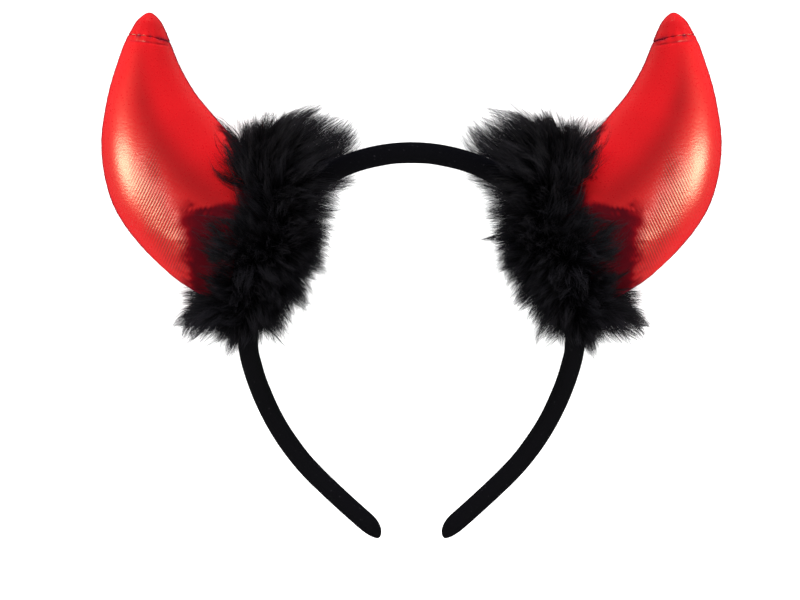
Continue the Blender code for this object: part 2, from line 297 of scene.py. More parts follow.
def polyesterSatin():
    # Costume satin: deep red with a warm, broad highlight that breaks into slanting ribs
    look = satinLook
    material, tree, shader = newMaterial("polyester_satin")
    place = addNode(tree, "TexCoord").outputs["Object"]
    split = addNode(tree, "SeparateXYZ", {"Vector": place})
    across = addNode(tree, "Math", {0: split.outputs["X"]}, operation="ABSOLUTE").outputs[0]
    angle = math.radians(look["ribAngle"])
    turn = 2.0 * math.pi / look["ribSpacing"]
    first = addNode(tree, "Math", {0: across, 1: turn * math.sin(angle)}, operation="MULTIPLY")
    second = addNode(tree, "Math", {
        0: split.outputs["Y"], 1: turn * math.cos(angle), 2: first.outputs[0]}, operation="MULTIPLY_ADD")
    wander = addNode(tree, "TexNoise", {"Vector": place, "Scale": 120.0, "Detail": 2.0})
    shifted = addNode(tree, "Math", {
        0: wander.outputs["Fac"], 1: look["wander"], 2: second.outputs[0]}, operation="MULTIPLY_ADD")
    wave = addNode(tree, "Math", {0: shifted.outputs[0]}, operation="SINE")
    rib = addNode(tree, "MapRange", {"Value": wave.outputs[0], "From Min": -1.0, "From Max": 1.0})
    # The ribs stand out on the belly of the horn and fade towards its outer edge
    belly = addNode(tree, "Attribute", attribute_name="belly").outputs["Fac"]
    valley = addNode(tree, "Math", {0: 1.0, 1: rib.outputs[0]}, operation="SUBTRACT")
    depth = addNode(tree, "Math", {0: valley.outputs[0], 1: belly}, operation="MULTIPLY")
    depth = depth.outputs[0]
    # Threads finer than the ribs, drawn as a fine uneven grain
    grain = addNode(tree, "TexNoise", {"Vector": place, "Scale": 1100.0, "Detail": 1.0}).outputs["Fac"]
    low = addNode(tree, "Math", {0: depth, 1: -look["ribHeight"]}, operation="MULTIPLY")
    # Uneven threads that run with the ribs and break up the rim of the highlight; both
    # sides' X is counted outwards
    outwards = addNode(tree, "CombineXYZ", {
        "X": across, "Y": split.outputs["Y"], "Z": split.outputs["Z"]}).outputs[0]
    run = addNode(tree, "Mapping", {
        "Vector": outwards, "Rotation": (0.0, 0.0, -angle), "Scale": look["slubScale"]})
    slub = addNode(tree, "TexNoise", {"Vector": run.outputs[0], "Scale": 1.0, "Detail": 1.0})
    front = addNode(tree, "Attribute", attribute_name="front").outputs["Fac"]
    lifted = addNode(tree, "Math", {0: slub.outputs["Fac"], 1: front}, operation="MULTIPLY")
    height = addNode(tree, "Math", {
        0: lifted.outputs[0], 1: look["slubHeight"], 2: low.outputs[0]}, operation="MULTIPLY_ADD")
    bump = addNode(tree, "Bump", {"Height": height.outputs[0], "Strength": 1.0, "Distance": 1.0})
    tree.links.new(bump.outputs["Normal"], shader.inputs["Normal"])
    shade = addNode(tree, "Attribute", attribute_name="shade").outputs["Fac"]
    gloss = addNode(tree, "Math", {
        0: depth, 1: look["ribRough"], 2: look["roughness"]}, operation="MULTIPLY_ADD")
    rough = addNode(tree, "Math", {
        0: grain, 1: look["ribRough"], 2: gloss.outputs[0]}, operation="MULTIPLY_ADD")
    tree.links.new(rough.outputs[0], shader.inputs["Roughness"])
    # Dye that took a little unevenly, plus painted shade from the fold attribute: a darker stripe down the
    # middle of the horn and a darker tip
    cloud = addNode(tree, "TexNoise", {"Vector": place, "Scale": 38.0, "Detail": 3.0})
    fold = addNode(tree, "Attribute", attribute_name="fold").outputs["Fac"]
    dyeAndStripeShadeFactor = addNode(tree, "Math", {
        0: cloud.outputs["Fac"], 1: look["dyeUneven"], 2: fold}, operation="MULTIPLY_ADD", use_clamp=True)
    dyeAndStripeShadeColour = addNode(tree, "Mix", {
        "Factor": dyeAndStripeShadeFactor.outputs[0], 6: linear(look["base"]), 7: linear(look["deep"])}, data_type="RGBA")
    # Painted shade in the valleys between the ribs
    ribValleyShaded = addNode(tree, "Mix", {
        "Factor": depth, 6: dyeAndStripeShadeColour.outputs[2], 7: linear(look["valley"])}, data_type="RGBA")
    # Painted shadow of the fur on the satin, mixed in by the shade attribute
    furShadowed = addNode(tree, "Mix", {
        "Factor": shade, 6: ribValleyShaded.outputs[2], 7: linear(look["shaded"])}, data_type="RGBA")
    # Painted shade along the side seams, in the cross seam's groove and in the crease below it
    seam = addNode(tree, "Attribute", attribute_name="seam").outputs["Fac"]
    colour = addNode(tree, "Mix", {
        "Factor": seam, 6: furShadowed.outputs[2], 7: linear(look["seam"])}, data_type="RGBA")
    tree.links.new(colour.outputs[2], shader.inputs["Base Color"])
    shader.inputs["Metallic"].default_value = look["metallic"]
    # No box is mirrored in the cloth where the fur's shadow is painted
    mirrored = addNode(tree, "MapRange", {
        "Value": shade, "From Max": look["mirrorless"], "To Min": 1.0, "To Max": 0.0})
    tree.links.new(mirrored.outputs[0], shader.inputs["Specular IOR Level"])
    shader.inputs["Specular Tint"].default_value = look["gloss"]
    shader.inputs["IOR"].default_value = 1.5
    return material


clothLook = {
    "base": "#050508",
    "lint": "#1d1c20",
    "ribSpacing": 0.62 * mm,
    "ribHeight": 0.03 * mm,
    "lintShare": (0.66, 0.74),         # where the dust noise starts and ends as lint
}


def knitCloth():
    # Black jersey pulled tight: nearly no gloss, a fine rib and a few pale bits of lint
    material, tree, shader = newMaterial("black_jersey")
    place = addNode(tree, "TexCoord")
    turn = 2.0 * math.pi / clothLook["ribSpacing"]
    split = addNode(tree, "SeparateXYZ", {"Vector": place.outputs["UV"]})
    around = addNode(tree, "Math", {0: split.outputs["X"], 1: turn}, operation="MULTIPLY")
    along = addNode(tree, "Math", {0: split.outputs["Y"], 1: turn * 0.8}, operation="MULTIPLY")
    waveRound = addNode(tree, "Math", {0: around.outputs[0]}, operation="SINE")
    waveAlong = addNode(tree, "Math", {0: along.outputs[0]}, operation="SINE")
    knit = addNode(tree, "Math", {
        0: waveRound.outputs[0], 1: waveAlong.outputs[0]}, operation="MULTIPLY")
    bump = addNode(tree, "Bump", {
        "Height": knit.outputs[0], "Strength": 0.8, "Distance": clothLook["ribHeight"]})
    tree.links.new(bump.outputs["Normal"], shader.inputs["Normal"])
    dust = addNode(tree, "TexNoise", {
        "Vector": place.outputs["Object"], "Scale": 900.0, "Detail": 4.0})
    speck = addNode(tree, "ValToRGB", {"Fac": dust.outputs["Fac"]})
    low, high = clothLook["lintShare"]
    setRamp(speck, ((low, (0, 0, 0, 1)), (high, (1, 1, 1, 1))))
    colour = addNode(tree, "Mix", {
        "Factor": speck.outputs["Color"], 6: linear(clothLook["base"]), 7: linear(clothLook["lint"])},
        data_type="RGBA")
    tree.links.new(colour.outputs[2], shader.inputs["Base Color"])
    shader.inputs["Roughness"].default_value = 0.9
    shader.inputs["Specular IOR Level"].default_value = 0.08
    return material


# Dyed feather down: black with a faint cool sheen, and greyer where it thins to a tip
downLook = {"dark": "#0a0a0c", "pale": "#212025", "tip": "#2b2a2f", "clouds": 160.0, "detail": 2.0,
            "roughness": 0.6, "specular": 0.12}
# The fur's dense core, black like the fur and darker still as painted shade for its depth, a matt black
# that swallows the light between the strands
coreShadeLook = {"dark": "#020203", "pale": "#09090b", "clouds": 1400.0, "detail": 3.0,
            "roughness": 1.0, "specular": 0.0}
# Twisted polyester thread: a darker red that changes from ply to ply
threadLook = {"dark": "#6d0a14", "pale": "#a3131f", "clouds": 2600.0, "detail": 2.0,
              "roughness": 0.6, "specular": 0.5}


def dyed(name, look):
    # A dye in two tones, in clouds as fine as the fibres
    material, tree, shader = newMaterial(name)
    place = addNode(tree, "TexCoord").outputs["Object"]
    cloud = addNode(tree, "TexNoise", {"Vector": place, "Scale": look["clouds"], "Detail": look["detail"]})
    colour = addNode(tree, "Mix", {
        "Factor": cloud.outputs["Fac"], 6: linear(look["dark"]), 7: linear(look["pale"])},
        data_type="RGBA").outputs[2]
    if "tip" in look:
        tip = addNode(tree, "Attribute", attribute_name="tip").outputs["Fac"]
        colour = addNode(tree, "Mix", {
            "Factor": tip, 6: colour, 7: linear(look["tip"])}, data_type="RGBA").outputs[2]
    tree.links.new(colour, shader.inputs["Base Color"])
    shader.inputs["Roughness"].default_value = look["roughness"]
    shader.inputs["Specular IOR Level"].default_value = look["specular"]
    return material


# Band

def bandStations():
    # Even steps, closer round the two ends
    last = 1.0 - band["endRound"] / band["halfLength"]
    even = np.linspace(0.0, last, band["stations"] // 2)
    turns = np.radians(np.linspace(0.0, 88.0, 16)[1:])
    return np.concatenate((even, last + (1.0 - last) * np.sin(turns)))


def bandRings():
    stations = bandStations()
    across, down, turn = walk(bandLine, band["halfLength"], stations)
    outward = flatVectors(np.sin(turn), np.cos(turn))
    thick = band["crownThickness"] + stations * (band["endThickness"] - band["crownThickness"])
    scale = endScale(stations, band["halfLength"], band["endRound"])
    lean = (1.0 - scale) * thick / 2.0 * band["endLean"]
    centre = flatVectors(across, crownY - down) + outward * lean[:, None] + up * middleZ
    angle = 2.0 * math.pi * np.arange(band["points"]) / band["points"]
    out = signedPower(np.cos(angle), 2.0 / band["squareness"])
    deep = signedPower(np.sin(angle), 2.0 / band["squareness"])
    puckers = bandPuckers(stations, angle, turn) * scale[:, None]
    half = (thick * scale / 2.0)[:, None] + puckers
    depth = (band["depth"] * scale / 2.0)[:, None] + puckers
    rings = (centre[:, None, :] + outward[:, None, :] * (out * half)[:, :, None]
             + up * (deep * depth)[:, :, None])
    other = rings[::-1] * np.array((-1.0, 1.0, 1.0))
    return np.concatenate((other[:-1], rings))


def bandPuckers(stations, angle, turn):
    # Cloth pulled round the inside of a bend gathers in small cross folds, and the
    # glued edge runs along the inner side
    bend = np.abs(np.gradient(turn, stations)) / 4.0
    distance = stations * band["halfLength"]
    inner = np.clip(-np.cos(angle), 0.0, 1.0) ** 2
    drift = 1.7 * np.sin(distance[:, None] / band["puckerDrift"])
    fold = np.sin(distance[:, None] / band["puckerSpacing"] + drift + 2.0 * angle)
    edge = np.exp(-((np.abs(angle - math.pi) / 0.16) ** 2))
    return band["pucker"] * bend[:, None] * inner * fold - band["glueEdge"] * edge


def addBandUv(item, count, around):
    # u round the band and v along it, in metres, so that the knit keeps its size
    girth = 2.0 * (band["crownThickness"] + band["depth"]) * 0.84
    layer = item.data.uv_layers.new(name="UVMap")
    vertexOf = np.zeros(len(item.data.loops), dtype=int)
    item.data.loops.foreach_get("vertex_index", vertexOf)
    ring, spot = vertexOf // around, vertexOf % around
    length = 2.0 * band["halfLength"] / count
    layer.data.foreach_set("uv", np.stack((spot / around * girth, ring * length), axis=-1).ravel())


def makeBand(cloth):
    rings = bandRings()
    item = loft("band_cover", rings, cloth)
    addBandUv(item, len(rings), band["points"])
    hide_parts("headband")
    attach(item, "root")
    return item


# Horns

folds = {
    "lump": 0.55 * mm,          # uneven stuffing
    "lumpSize": 20.0 * mm,
    "foot": 0.60 * mm,          # folds that run up from the fur
    "gather": 0.03 * mm,        # small gathers along the side seams
    "gatherSpacing": 3.4 * mm,
    "tip": 0.36 * mm,           # gathers where the tip is sewn on
    "tipReach": 1.9 * mm,
    "crease": 0.24 * mm,        # the turned-in cloth shows as a line below the seam
    "creaseAway": 2.2 * mm,
    "edgeRound": 0.50 * mm,     # the rolled edges of the cross seam
    "seamSlant": 0.5 * mm,      # the cross seam runs lower on the inner side
    "seamDrop": 1.3 * mm,       # and drops there in a slanting pucker
    "seamGap": 0.01 * mm,
    "seamShadeWidth": 0.34 * mm,      # the width of the painted shade along the outline, where the cloth turns into the side seams
    "shadeStripeAcross": -0.20,        # the painted shade stripe, as a share of the half width outwards
    "shadeStripeRise": 0.85,           # how it nears the outer edge towards the tip
    "shadeStripeWidth": 0.27,
    "shadeStripeDepth": 0.66,
}
# The belt of ribs that slants over the belly: across in shares of the half width and
# place in shares of the length
ribBelt = {
    "across": 0.38,             # its middle at the level below
    "level": 0.45,
    "slant": 1.3,
    "half": 0.32,
    "soft": 0.20,
    "foot": 0.14,
    "top": 0.56,
}

# Where the fur's shade ends on the cloth, and how softly, in the fur's own frame and in
# millimetres from the horn's middle
furShade = table("along out soft", (
    (-30.0, 15.0, 9.0), (-20.0, 21.5, 10.0), (-10.0, 29.5, 12.0), (-1.0, 34.5, 13.0), (1.0, 35.0, 10.0),
    (3.0, 30.5, 7.0), (6.0, 25.0, 6.0), (11.5, 20.0, 6.0), (18.0, 22.0, 6.0), (21.0, 29.0, 7.0),
    (26.0, 31.0, 7.0), (33.0, 41.0, 6.0), (38.0, 42.0, 6.0),
))


def hornSeat(side):
    across, down, turn = walk(bandLine, band["halfLength"], np.array([horn["seatAlong"]]))
    return np.array((side * across[0], crownY - down[0], middleZ))


def hornSections(side, stations, angle):
    # The horn's plain form: middles, outward directions and half sizes
    forward, out, turn = walk(hornLine, horn["length"], stations)
    seat = hornSeat(side)
    centre = seat + flatVectors(side * out, forward)
    outward = flatVectors(side * np.cos(turn), -np.sin(turn))
    scale = endScale(stations, horn["length"], horn["tipRound"])
    width = horn["width"] / 2.0 * smooth(hornLine, "width", stations) * scale
    depth = horn["depth"] / 2.0 * smooth(hornLine, "depth", stations) * scale
    across = np.cos(angle)
    deep = signedPower(np.sin(angle), horn["seamPinch"])
    return centre, outward, width, depth, across, deep


def seamShift(angle):
    # How far the cross seam is off square, towards the tip, round the horn
    across = np.cos(angle)
    return folds["seamSlant"] * across - folds["seamDrop"] * np.clip(-across - 0.25, 0.0, 1.0)


def hornRings(side, stations, angle, edge, slide):
    # Rings with folds; slide moves each ring's points along the horn, to slant the seam
    count, around = len(stations), len(angle)
    shift = slide[:, None] * seamShift(angle)[None, :] / horn["length"]
    places = np.clip(stations[:, None] + shift, 0.0, 1.0).ravel()
    spin = np.tile(angle, count)
    centre, outward, width, depth, across, deep = hornSections(side, places, spin)
    plain = centre + outward * (width * across)[:, None] + up * (depth * deep)[:, None]
    grow = outward * across[:, None] + up * deep[:, None]
    grow /= np.linalg.norm(grow, axis=-1, keepdims=True)
    gap = np.abs(stations - edge)[:, None].repeat(around, axis=1).ravel() * horn["length"]
    height = hornRelief(side, places, spin, plain, width, gap)
    return (plain + grow * height[:, None]).reshape(count, around, 3)


def hornRelief(side, places, spin, plain, width, gap):
    seamPlace = 1.0 - horn["tipLength"] / horn["length"]
    points = plain * np.array((side, 1.0, 1.0))
    lump = softNoise(points, folds["lumpSize"], 3.1)
    drift = softNoise(points, 9.0 * mm, 7.7)
    pull = softNoise(points, 2.6 * mm, 5.2)
    distance = places * horn["length"]
    rim = width * (1.0 - np.abs(np.cos(spin)))
    body = np.clip((1.0 - places) * horn["length"] / (18.0 * mm), 0.25, 1.0)
    footShare = np.clip(1.0 - (places - 0.12) / 0.30, 0.0, 1.0) ** 2
    foot = np.sin(7.0 * spin + 2.6 * drift + distance / (16.0 * mm))
    gathers = np.sin(distance * 2.0 * math.pi / folds["gatherSpacing"] + 3.0 * drift)
    height = folds["lump"] * lump * body + folds["foot"] * foot * footShare
    height += folds["gather"] * gathers * np.exp(-rim / (1.5 * mm)) * body
    nearTip = np.exp(-gap / folds["tipReach"])
    height += folds["tip"] * (np.sin(13.0 * spin + 2.2 * drift) * 0.5 + pull) * nearTip
    below = (gap - folds["creaseAway"] - 0.5 * mm * drift) / (0.4 * mm)
    broken = np.clip(0.6 + drift, 0.0, 1.0)
    height -= folds["crease"] * np.exp(-below ** 2) * broken * (places < seamPlace)
    rest = 1.0 - np.clip(gap, 0.0, folds["edgeRound"]) / folds["edgeRound"]
    height -= folds["edgeRound"] * (1.0 - np.sqrt(np.clip(1.0 - rest ** 2, 0.0, 1.0)))
    return height


def smoothStep(value):
    share = np.clip(value, 0.0, 1.0)
    return share * share * (3.0 - 2.0 * share)


def keepAttribute(item, name, values):
    layer = item.data.attributes.new(name, "FLOAT", "POINT")
    layer.data.foreach_set("value", np.clip(values, 0.0, 1.0).astype(np.float32))


def markHorn(item, side, stations, angle, edge):
    # Where the seams' painted shade, the ribs, the painted shade stripe and the fur's painted shadow show,
    # kept as attributes
    turn = np.tile(angle, len(stations))
    place = np.repeat(stations, len(angle))
    width = np.repeat(hornSections(side, stations, np.zeros(len(stations)))[2], len(angle))
    across = np.cos(turn)
    corners = np.array([vertex.co[:] for vertex in item.data.vertices]) * np.array((side, 1.0, 1.0))
    drift = softNoise(corners, 5.0 * mm, 2.4)
    # Painted shade: a dark line along the outline, where the cloth turns into the side seams
    rim = np.exp(-((width * (1.0 - np.abs(across)) / folds["seamShadeWidth"]) ** 2))
    gap = np.abs(place - edge) * horn["length"]
    # Painted shade in the groove of the cross seam, in two stretches with a pinch between them
    shown = (1.0 - np.exp(-(((across + 0.30) / 0.14) ** 2))) * np.clip((0.85 - across) / 0.15, 0.0, 1.0)
    broken = softNoise(corners * np.array((1.0, 0.4, 1.0)), 2.6 * mm, 8.3)
    cross = np.exp(-((gap / (0.75 * mm)) ** 2)) * shown * np.clip(0.55 + 2.6 * broken, 0.0, 0.9)
    # Painted shade in the crease below the cross seam
    crease = np.exp(-(((gap - folds["creaseAway"]) / (0.35 * mm)) ** 2)) * (place < edge) * 0.35
    keepAttribute(item, "seam", np.maximum(rim, np.maximum(cross, crease * shown)))
    middle = ribBelt["across"] + ribBelt["slant"] * (ribBelt["level"] - place) - 0.08 * drift
    belt = smoothStep((ribBelt["half"] - np.abs(across - middle)) / ribBelt["soft"])
    belt *= smoothStep((ribBelt["top"] - place) / 0.10) * smoothStep((place - ribBelt["foot"]) / 0.08)
    body = np.clip((0.72 - place) / 0.20, 0.0, 1.0) * np.clip((across + 0.30) / 0.40, 0.0, 1.0)
    keepAttribute(item, "belly", 0.10 * body + 0.90 * belt * (0.85 + 0.3 * drift))
    keepAttribute(item, "front", body)
    # Painted shade: a dark stripe down the horn's middle that fades near the tip, and a darker tip, kept as
    # the fold attribute
    middle = folds["shadeStripeAcross"] + folds["shadeStripeRise"] * np.clip(place - 0.3, 0.0, 0.45)
    stripe = (across - middle) / folds["shadeStripeWidth"]
    fade = np.clip((0.94 - place) / 0.25, 0.0, 1.0)
    end = np.clip((place - 0.88) / 0.08, 0.0, 1.0) * 0.35
    keepAttribute(item, "fold", np.maximum(folds["shadeStripeDepth"] * np.exp(-stripe ** 2) * fade, end))
    # Painted shadow of the fur on the satin, darkest under its edge, kept as the shade attribute
    outward, upward = furAxes(1.0)
    offset = corners - hornSeat(1.0)
    streaks = softNoise(corners * np.array((0.24, 1.0, 1.0)), 1.7 * mm, 6.1)
    along = offset @ upward / mm + 4.5 * streaks
    clear = offset @ outward / mm - np.interp(along, furShade["along"], furShade["out"])
    soft = np.interp(along, furShade["along"], furShade["soft"])
    keepAttribute(item, "shade", smoothStep(0.5 - (clear + 3.0 * drift) / soft))


def makeHorn(word, side, satin):
    angle = 2.0 * math.pi * np.arange(horn["points"]) / horn["points"]
    seam = 1.0 - (horn["tipLength"] + folds["seamGap"]) / horn["length"]
    reach = folds["edgeRound"] / horn["length"]
    near = seam - 9.0 * mm / horn["length"]
    stations = np.concatenate((
        np.linspace(0.03, near, horn["stations"]),
        np.linspace(near, seam - reach, 26)[1:],
        seam - reach * (1.0 - np.sin(np.radians(np.linspace(0.0, 89.0, 8)[1:]))),
    ))
    slide = np.clip((stations - near) / (seam - near), 0.0, 1.0)
    rings = hornRings(side, stations, angle, seam, slide)
    item = loft("horn_skin_" + word, rings, satin)
    markHorn(item, side, stations, angle, seam)
    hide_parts("horn_" + word)
    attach(item, "root")
    return item


def makeHornTip(word, side, satin):
    angle = 2.0 * math.pi * np.arange(horn["points"]) / horn["points"]
    start = 1.0 - (horn["tipLength"] - folds["seamGap"]) / horn["length"]
    reach = folds["edgeRound"] / horn["length"]
    last = 1.0 - horn["tipRound"] / horn["length"]
    stations = np.concatenate((
        start + reach * (1.0 - np.cos(np.radians(np.linspace(1.0, 90.0, 8)))),
        np.linspace(start + reach, last, 16)[1:],
        last + (1.0 - last) * np.sin(np.radians(np.linspace(0.0, 88.0, horn["tipStations"])[1:])),
    ))
    slide = np.clip((last - stations) / (last - start), 0.0, 1.0)
    rings = hornRings(side, stations, angle, start, slide)
    item = loft("horn_tip_skin_" + word, rings, satin)
    markHorn(item, side, stations, angle, start)
    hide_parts("horn_tip_" + word)
    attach(item, "root")


stitch = {
    "count": 13,
    "length": 1.7 * mm,
    "radius": 0.11 * mm,
    "slant": 0.30,
    "sink": 0.18 * mm,          # below the plain surface, in the groove
    "dip": 0.50 * mm,           # how far both ends go into the cloth
}


def makeStitches(word, side, thread):
    # Slanting stitches that hold the tip's rolled edge to the horn
    seam = 1.0 - horn["tipLength"] / horn["length"]
    steps = np.linspace(-0.5, 0.5, 9)
    points, faces = [], []
    for index in range(stitch["count"]):
        middle = 2.0 * math.pi * (index + 0.5) / stitch["count"]
        angles = middle + steps * stitch["slant"]
        stations = seam + (steps * stitch["length"] + seamShift(angles)) / horn["length"]
        centre, outward, width, depth, across, deep = hornSections(side, stations, angles)
        grow = outward * (across * width)[:, None] + up * (deep * depth)[:, None]
        sink = stitch["sink"] + stitch["dip"] * (2.0 * np.abs(steps)) ** 3
        line = centre + grow * (1.0 - sink / np.linalg.norm(grow, axis=1))[:, None]
        radii = stitch["radius"] * np.sqrt(np.clip(1.02 - (2.0 * steps) ** 2, 0.02, 1.0))
        addTube(points, faces, line, radii)
    item = makeObject("tip_stitches_" + word, np.array(points), faces, thread)
    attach(item, "root")


def addTube(points, faces, line, radii, around=6):
    # A closed tube along a line of points
    start = len(points)
    ahead = np.gradient(line, axis=0)
    ahead /= np.linalg.norm(ahead, axis=1, keepdims=True)
    for place, forward, radius in zip(line, ahead, radii):
        first = np.cross(forward, (0.31, 0.17, 0.93))
        first /= np.linalg.norm(first)
        second = np.cross(forward, first)
        for index in range(around):
            turn = 2.0 * math.pi * index / around
            points.append(place + radius * (math.cos(turn) * first + math.sin(turn) * second))
    for row in range(len(line) - 1):
        low = start + row * around
        for index in range(around):
            after = (index + 1) % around
            faces.append([low + index, low + after, low + around + after, low + around + index])
    faces.append([start + index for index in reversed(range(around))])
    faces.append([start + (len(line) - 1) * around + index for index in range(around)])


# Fur

strands = {
    # strands a side, segments, root and tip width, how far a strand is drawn into its
    # tuft, how much shorter than the tuft it stays, and over what length they thin out
    "down": {"count": 8500, "segments": 3, "root": 0.30 * mm, "tip": 0.12 * mm, "gather": 0.3,
             "inside": 7.5 * mm, "thinning": 3.0 * mm},
    "locks": {"count": 27500, "segments": 4, "root": 0.17 * mm, "tip": 0.07 * mm, "gather": 0.94,
              "inside": 0.0, "thinning": 6.5 * mm},
    "wisps": {"count": 9500, "segments": 6, "root": 0.12 * mm, "tip": 0.05 * mm, "gather": 0.70,
              "inside": 0.0, "thinning": 5.5 * mm},
}
clumps = {
    "locks": 420,
    "tufts": 2300,              # several small tufts share the lean of one lock
    "past": (-2.0 * mm, 14.0 * mm),  # least and most reach past the roll
    "sway": 2.2 * mm,           # how far a lock's tip leans to one side
    "tuftSway": 1.4 * mm,
    "follow": 0.60,             # how far the tufts come together in their lock
    "droop": 1.3 * mm,          # the locks on the head's side lean to the band's ends
    "fan": (4.0 * mm, 9.0 * mm),  # and those at the lower and upper end lean outwards
    "bend": 0.22,
    "frizz": 0.12 * mm,
    "shorter": 3.5 * mm,        # how much shorter than the outline a tuft can be
}
# Along the outline the hair stands in points with notches between them
spikes = {
    "apart": (1.5 * mm, 3.2 * mm),
    "notch": 4.6 * mm,
    "uneven": 1.8 * mm,         # how much shorter some points are
    "groups": 7.0 * mm,         # several points make a bigger one
    "groupNotch": 4.4 * mm,
    "slant": 0.5 * mm,
    "pull": 0.90,
    "near": 8.0 * mm,           # how far in from the outline hair is drawn to the points
    "long": 0.07,               # share of the tufts that stand out alone
    "longReach": 3.0 * mm,
}
rootReach = 0.50                # the strands start this far out in the roll
rootAlong = 0.80
roundFrom = 0.90                # the share of the roll where its ends start to close
aimPast = 6.0 * mm              # how far past the roll a strand aims
floorGap = 0.4 * mm
clothGap = 0.25 * mm            # between the hair and the horn or the band
# The core is slimmer than the roll, but fuller in front of the horn
core = {
    "reach": 0.64,
    "front": 0.10,
    "along": 0.80,
    "roundness": 5,
    "points": 72,
    "lump": 1.8 * mm,
    "lumpSize": 4.0 * mm,
}
# The fur's outline in its own frame, in millimetres from the horn's middle. The ends are
# given by how far out a place is, and the reach over the horn by how far along it is.
lowerEnd = table("out along", (
    (-22.0, -32.0), (-19.0, -37.0), (-13.0, -46.0), (-9.0, -45.0), (-5.0, -43.0), (0.0, -42.0),
    (2.0, -46.0), (4.0, -52.5), (8.0, -53.5), (12.0, -50.5), (15.0, -49.5), (18.0, -48.0),
    (21.0, -44.0), (24.0, -38.0),
))
upperEnd = table("out along", (
    (-20.0, 30.0), (-15.0, 54.0), (-8.0, 68.0), (0.0, 76.0), (3.0, 74.5), (6.0, 73.0),
    (12.0, 69.0), (18.0, 60.5), (24.0, 60.0), (27.0, 60.0), (31.0, 53.0), (36.0, 53.0),
    (39.0, 48.0), (45.0, 46.0), (50.0, 44.0),
))
overHorn = table("along out", (
    (-38.0, 22.0), (-33.0, 25.0), (-30.0, 25.0), (-27.5, 23.0), (-25.0, 18.5), (-21.5, 16.5),
    (-18.0, 21.0), (-14.0, 25.5), (-9.0, 29.5), (-4.0, 36.0), (-1.5, 36.0), (1.0, 30.0),
    (5.0, 28.0), (12.0, 25.5), (17.0, 23.0), (20.0, 24.0), (21.5, 44.0), (23.5, 46.0),
    (25.5, 35.0), (29.0, 40.0), (32.0, 51.0), (34.0, 57.0), (37.0, 56.0), (41.0, 46.0),
    (46.0, 40.0),
))
headSide = table("along out", (
    (-34.0, -25.0), (-29.0, -31.0), (-23.0, -32.0), (-20.0, -29.0), (-17.0, -31.0),
    (-11.0, -29.0), (-5.0, -34.5), (-2.0, -34.0), (1.0, -28.0), (4.0, -27.0), (8.0, -31.0),
    (13.0, -28.5), (16.0, -30.5), (19.0, -23.5), (22.0, -23.5), (25.0, -27.5), (28.0, -33.5),
    (31.0, -31.5), (35.0, -33.0), (38.0, -34.0), (42.0, -31.0), (46.0, -27.0),
))
# Where the last two hold, in the same millimetres along
overHornTo = 44.0
headSideMiddle = 8.0
headSideHalf = 36.0
# A share of the outer reach for the roll in front of the horn
frontTrim = table("along share", (
    (-0.0380, 1.00),
    (-0.0290, 0.80),
    (-0.0225, 0.45),
    (-0.0167, 0.60),
    (-0.0099, 0.80),
    (-0.0010, 0.95),
    (0.0064, 0.70),
    (0.0133, 0.62),
    (0.0165, 0.80),
    (0.0200, 1.00),
    (0.0545, 1.00),
))
bandShows = (0.157, 0.545)      # the band lies in front of the fur outside these shares
bandWander = 0.010              # how unevenly the fur starts there
bandClear = 5.2 * mm            # no hair that close to the band's middle line shows there
bandUnder = 2.0 * mm            # hair and core pass this far under that line


def furAxes(side):
    turn = math.radians(hornLine["heading"][0])
    outward = np.array((side * math.sin(turn), math.cos(turn), 0.0))
    upward = np.array((-side * math.cos(turn), math.sin(turn), 0.0))
    return outward, upward


def furPoints(side, along, angle, reach=1.0):
    # Places on the roll, at a share of its reach from the middle of each section
    outward, upward = furAxes(side)
    distance = along * np.where(along > 0.0, fur["upperLength"], fur["lowerLength"])
    inner = fur["innerReach"] * smooth(furLine, "inner", along)
    outer = fur["outerReach"] * smooth(furLine, "outer", along)
    trim = np.interp(distance, frontTrim["along"], frontTrim["share"])
    inFront = np.clip(np.sin(angle) / 0.35, 0.0, 1.0)  # the trim is for the front alone
    outer = outer * (1.0 + (trim - 1.0) * inFront)
    deep = smooth(furLine, "deep", along) * np.sin(angle)
    full = np.where(deep > 0.0, fur["front"], fur["back"] * fur["backFullness"])
    close = np.clip((np.abs(along) - roundFrom) / (1.0 - roundFrom), 0.0, 1.0)
    reach = reach * np.sqrt(1.0 - close ** 2)  # both ends close in a round heap
    height = np.maximum(deep * full, -fur["back"]) * reach
    sideways = (outer - inner) / 2.0 + np.cos(angle) * (outer + inner) / 2.0 * reach
    return (hornSeat(side) + upward * distance[:, None] + outward * sideways[:, None]
            + up * height[:, None])


def furNormals(side, along, angle):
    step = 0.01
    after, before = np.clip(along + step, -1, 1), np.clip(along - step, -1, 1)
    first = furPoints(side, after, angle) - furPoints(side, before, angle)
    second = furPoints(side, along, angle + step) - furPoints(side, along, angle - step)
    normal = np.cross(first, second)
    size = np.linalg.norm(normal, axis=1)
    away = furPoints(side, along, angle) - furPoints(side, along, angle, 0.0)
    normal *= np.sign((normal * away).sum(axis=1))[:, None]
    away /= np.maximum(np.linalg.norm(away, axis=1, keepdims=True), 1e-9)
    normal = normal / np.maximum(size, 1e-12)[:, None] + 0.5 * away
    normal /= np.linalg.norm(normal, axis=1, keepdims=True)
    return normal, size


def spreadOver(side, count, dice):
    # Even by area over the whole roll
    along = dice.uniform(-1.0, 1.0, count * 6)
    angle = dice.uniform(0.0, 2.0 * math.pi, count * 6)
    size = furNormals(side, along, angle)[1]
    chosen = dice.choice(count * 6, count, replace=False, p=size / size.sum())
    return along[chosen], angle[chosen]


def curve(root, middle, tip, part):
    # Points of bent lines through three guides, at a row of shares for each line
    part = part[:, :, None]
    start, end = root[:, None] * (1 - part) ** 2, tip[:, None] * part ** 2
    return start + middle[:, None] * 2 * part * (1 - part) + end


